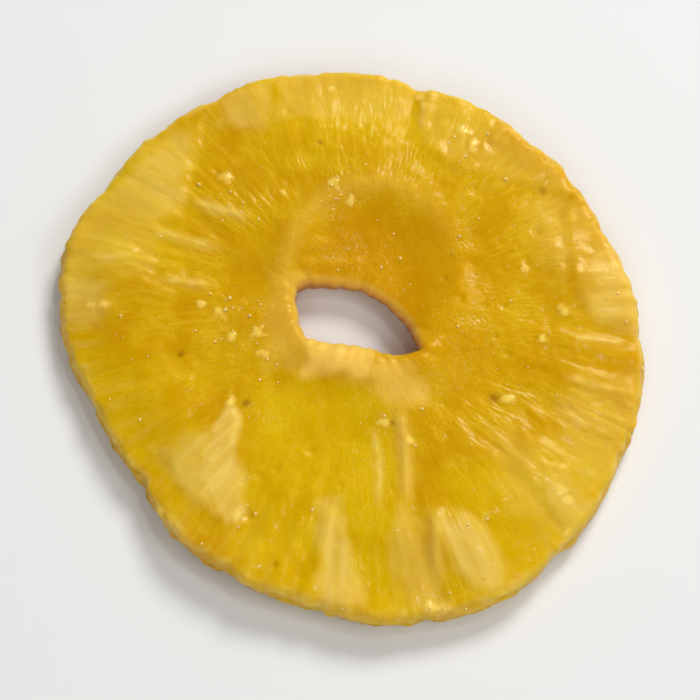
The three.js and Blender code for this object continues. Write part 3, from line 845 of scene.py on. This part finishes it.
def candiedFlesh():
    material, tree, shader = newMaterial("candied_pineapple_flesh")
    smooth, times = {"interpolation_type": "SMOOTHSTEP"}, {"operation": "MULTIPLY"}
    timesPlus = {"operation": "MULTIPLY_ADD"}
    clampedTimesPlus = {"operation": "MULTIPLY_ADD", "use_clamp": True}
    kept = {}
    for name in ("dryFleshAndSheen", "coreFlesh", "lipPaleAndHighlights", "wallFlesh", "lemonFlesh",
                 "crustAndGlint", "syrup", "bruise", "fibreShow"):
        kept[name] = addNode(tree, "Attribute", {"attribute_name": name}, {}).outputs["Fac"]
    for name in ("fibreRun", "cellRun"):
        kept[name] = addNode(tree, "Attribute", {"attribute_name": name}, {}).outputs["Vector"]
    place = addNode(tree, "TexCoord", {}, {}).outputs["Object"]
    noises = {}
    for name, (size, detail, roughness) in candied["noises"].items():
        pattern = addNode(tree, "TexNoise", {}, {
            "Vector": place, "Scale": 1 / (size * mm), "Detail": detail, "Roughness": roughness})
        noises[name] = pattern.outputs["Fac"]

    cloudShare = addNode(tree, "MapRange", smooth, {
        "Value": noises["clouds"], "From Min": 0.3, "From Max": 0.7, "To Min": -0.05, "To Max": 0.45})
    lemonShare = addNode(tree, "Math", clampedTimesPlus, {
        0: kept["lemonFlesh"], 1: candied["lemonCover"], 2: cloudShare.outputs[0]})
    fibres = addNode(tree, "TexNoise", {}, {
        "Vector": kept["fibreRun"], "Scale": 1.6, "Detail": 4, "Roughness": 0.6}).outputs["Fac"]
    fibreStreaks = addNode(tree, "MapRange", smooth, {
        "Value": fibres, "From Min": 0.5, "From Max": 0.75, "To Max": 0.4})
    fibreShare = addNode(tree, "Math", times, {0: fibreStreaks.outputs[0], 1: kept["fibreShow"]})
    # Juice cells, long in the fibres' direction: clear inside, cloudier at their walls.
    cells = addNode(tree, "TexVoronoi", {"feature": "DISTANCE_TO_EDGE"}, {
        "Vector": kept["cellRun"], "Scale": 1.0, "Randomness": 1.0}).outputs["Distance"]
    cellWalls = addNode(tree, "MapRange", smooth, {
        "Value": cells, "From Min": 0.02, "From Max": 0.16, "To Min": 0.22, "To Max": 0})
    cellPatches = addNode(tree, "MapRange", smooth, {
        "Value": noises["clouds"], "From Min": 0.38, "From Max": 0.62, "To Min": 0.3}).outputs[0]
    cellShare = addNode(tree, "Math", times, {0: cellWalls.outputs[0], 1: cellPatches})
    dryStreaks = addNode(tree, "MapRange", {}, {
        "Value": fibres, "From Min": 0.3, "From Max": 0.6, "To Min": 0.75, "To Max": 1.0})
    dryAndSheenShare = addNode(tree, "Math", times, {0: kept["dryFleshAndSheen"], 1: dryStreaks.outputs[0]})
    coreShare = addNode(tree, "Math", times, {0: kept["coreFlesh"], 1: candied["coreCover"]})
    specks = addNode(tree, "MapRange", smooth, {
        "Value": noises["specks"], "From Min": 0.79, "From Max": 0.84, "To Max": 0.6})
    brownShare = addNode(tree, "Math", clampedTimesPlus, {
        0: kept["bruise"], 1: candied["bruiseCover"], 2: specks.outputs[0]})
    # Dissolved sugar that dried again as a fine broken frost.
    frost = addNode(tree, "MapRange", smooth, {
        "Value": noises["frost"], "From Min": 0.6, "From Max": 0.75, "To Max": 0.3})
    frostPatches = addNode(tree, "MapRange", {}, {
        "Value": noises["clouds"], "From Min": 0.4, "From Max": 0.65, "To Min": 0.15})
    frostShare = addNode(tree, "Math", times, {0: frost.outputs[0], 1: frostPatches.outputs[0]})
    # Crusts are painted pale as glints.
    crustGlint = addNode(tree, "Math", times, {0: kept["crustAndGlint"], 1: candied["crustGlintCover"]})
    # The dry, lip and crust layers are partly painted reflection and painted highlight.
    layers = {
        "lemonGold": lemonShare.outputs[0], "fibreGold": fibreShare.outputs[0],
        "cellGold": cellShare.outputs[0], "dryPaleAndSheen": dryAndSheenShare.outputs[0],
        "coreAmber": coreShare.outputs[0], "lipHighlightPale": kept["lipPaleAndHighlights"], "wallAmber": kept["wallFlesh"],
        "speckBrown": brownShare.outputs[0], "frostPale": frostShare.outputs[0],
        "crustGlintPale": crustGlint.outputs[0],
    }
    coloured = toLinear(candied["deepGold"])
    for colour, shown in layers.items():
        coloured = addNode(tree, "Mix", {"data_type": "RGBA"}, {
            0: shown, 6: coloured, 7: toLinear(candied[colour])}).outputs[2]

    strength, height = candied["rippleBump"]
    bumpRipple = addNode(tree, "Bump", {}, {
        "Strength": strength, "Distance": height * mm, "Height": noises["ripple"]})
    strength, height = candied["cellBump"]
    plumpCells = addNode(tree, "MapRange", smooth, {"Value": cells, "From Min": 0.0, "From Max": 0.3})
    cellStrength = addNode(tree, "Math", times, {0: cellPatches, 1: strength})
    bumpCells = addNode(tree, "Bump", {}, {
        "Strength": cellStrength.outputs[0], "Distance": height * mm,
        "Height": plumpCells.outputs[0], "Normal": bumpRipple.outputs["Normal"]})
    strength, height = candied["fibreBump"]
    fibreStrength = addNode(tree, "Math", times, {0: kept["fibreShow"], 1: strength})
    bumpFibres = addNode(tree, "Bump", {}, {
        "Strength": fibreStrength.outputs[0], "Distance": height * mm,
        "Height": fibres, "Normal": bumpCells.outputs["Normal"]})
    strength, height = candied["grainBump"]
    bumpGrain = addNode(tree, "Bump", {}, {
        "Strength": strength, "Distance": height * mm,
        "Height": noises["grain"], "Normal": bumpFibres.outputs["Normal"]})

    smoothest, roughest = candied["roughness"]
    rough = addNode(tree, "MapRange", {}, {
        "Value": noises["clouds"], "From Min": 0.3, "From Max": 0.7,
        "To Min": smoothest, "To Max": roughest})
    roughSyrup = addNode(tree, "Math", timesPlus, {
        0: kept["syrup"], 1: candied["syrupRoughness"], 2: rough.outputs[0]})
    roughDry = addNode(tree, "Math", timesPlus, {
        0: kept["dryFleshAndSheen"], 1: candied["dryRoughness"], 2: roughSyrup.outputs[0]})
    # The gloss is strongest where syrup pooled, and broken up everywhere.
    least, most = candied["coat"]
    gloss = addNode(tree, "MapRange", smooth, {
        "Value": noises["gloss"], "From Min": 0.4, "From Max": 0.6, "To Min": least, "To Max": most})
    coat = addNode(tree, "Math", clampedTimesPlus, {
        0: kept["syrup"], 1: candied["syrupCoat"], 2: gloss.outputs[0]})
    fillInputs(tree, shader, {
        "Base Color": coloured,
        "Roughness": roughDry.outputs[0],
        "Normal": bumpGrain.outputs["Normal"],
        "Coat Weight": coat.outputs[0],
        "Coat Normal": bumpFibres.outputs["Normal"],
        "Coat Roughness": candied["coatRoughness"],
        "Coat IOR": candied["ior"],
        "IOR": candied["ior"],
        "Specular IOR Level": candied["specular"],
        "Specular Tint": toLinear(candied["specularTint"]),
        "Subsurface Weight": candied["soak"],
        "Subsurface Radius": candied["soakColours"],
        "Subsurface Scale": candied["soakMm"] * mm,
    })
    return material


# Granulated sugar: small crystals, broken and half dissolved, so they are clouded and catch the light.
crystal = {"colour": "#fbdc84", "roughness": 0.16, "ior": 1.54, "soak": 0.6, "soakMm": 0.1}


def sugarCrystal():
    material, tree, shader = newMaterial("granulated_sugar_crystal")
    fillInputs(tree, shader, {
        "Base Color": toLinear(crystal["colour"]),
        "Roughness": crystal["roughness"],
        "IOR": crystal["ior"],
        "Subsurface Weight": crystal["soak"],
        "Subsurface Radius": (1, 1, 1),
        "Subsurface Scale": crystal["soakMm"] * mm,
    })
    return material


# Studio paper: matt, very pale, rolled out under the slice.
paper = {"colour": "#eeeeed", "roughness": 0.75}


def studioPaper():
    material, tree, shader = newMaterial("studio_paper")
    fillInputs(tree, shader, {"Base Color": toLinear(paper["colour"]), "Roughness": paper["roughness"]})
    return material


print("materials: candied flesh, sugar, paper")
slicePiece.data.materials.append(candiedFlesh())
sugarPiece.data.materials.append(sugarCrystal())
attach(slicePiece, "root")
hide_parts("pineapple_ring")
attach(sugarPiece, "root")

# Floor, lights and camera. Lengths are in metres.
studio = {
    "floorSize": 3.0,
    "worldGrey": "#e4e5e8",
    "worldStrength": 0.26,
    "elevation": 70,
    "cameraDistance": 0.45,
    "across": 0.084,            # how much of the floor the frame's width takes in, at the ring
    "aimBelow": 0.001,          # the camera aims this far below the ring's middle, towards the viewer
    # Name, heading round the ring (0 is behind it, 90 to the right), elevation, distance, size, watts and
    # colour.
    "lamps": [
        ("key", 28, 44, 0.8, 0.3, 4.1, "#fffdfa"),
        ("right", 115, 50, 0.8, 0.4, 1.3, "#ffffff"),
        ("front", 190, 48, 0.9, 0.6, 1.7, "#ffffff"),
        ("glint", 60, 74, 0.9, 0.05, 0.5, "#ffffff"),
    ],
}

bpy.ops.mesh.primitive_plane_add(size=studio["floorSize"])
floor = bpy.context.object
floor.name = "studio_floor"
floor.data.materials.append(studioPaper())

world = bpy.data.worlds.new("studio")
world.use_nodes = True
fillInputs(world.node_tree, world.node_tree.nodes["Background"], {
    "Color": toLinear(studio["worldGrey"]), "Strength": studio["worldStrength"]})
bpy.context.scene.world = world

target = Vector((0, -studio["aimBelow"], solidHigh.z / 2))
for name, heading, elevation, distanceAway, size, watts, colour in studio["lamps"]:
    h, e = math.radians(heading), math.radians(elevation)
    lamp = bpy.data.lights.new(name, "AREA")
    lamp.shape = "DISK"
    lamp.size = size
    lamp.energy = watts
    lamp.color = toLinear(colour)[:3]
    lampObject = bpy.data.objects.new("lamp_" + name, lamp)
    back = Vector((math.sin(h) * math.cos(e), math.cos(h) * math.cos(e), math.sin(e)))
    lampObject.location = target + back * distanceAway
    lampObject.rotation_euler = back.to_track_quat("Z", "Y").to_euler()
    bpy.context.scene.collection.objects.link(lampObject)

camera = bpy.data.cameras.new("camera")
camera.lens = camera.sensor_width * studio["cameraDistance"] / studio["across"]
camera.clip_start = 0.01
camera.clip_end = 10
cameraObject = bpy.data.objects.new("camera", camera)
e = math.radians(studio["elevation"])
back = Vector((0, -math.cos(e), math.sin(e)))
cameraObject.location = target + back * studio["cameraDistance"]
cameraObject.rotation_euler = back.to_track_quat("Z", "Y").to_euler()
bpy.context.scene.collection.objects.link(cameraObject)
bpy.context.scene.camera = cameraObject
bpy.context.scene.view_settings.view_transform = "Standard"
bpy.context.scene.view_settings.look = "None"

bpy.context.view_layer.update()
print("done: ring and sugar on the studio floor")
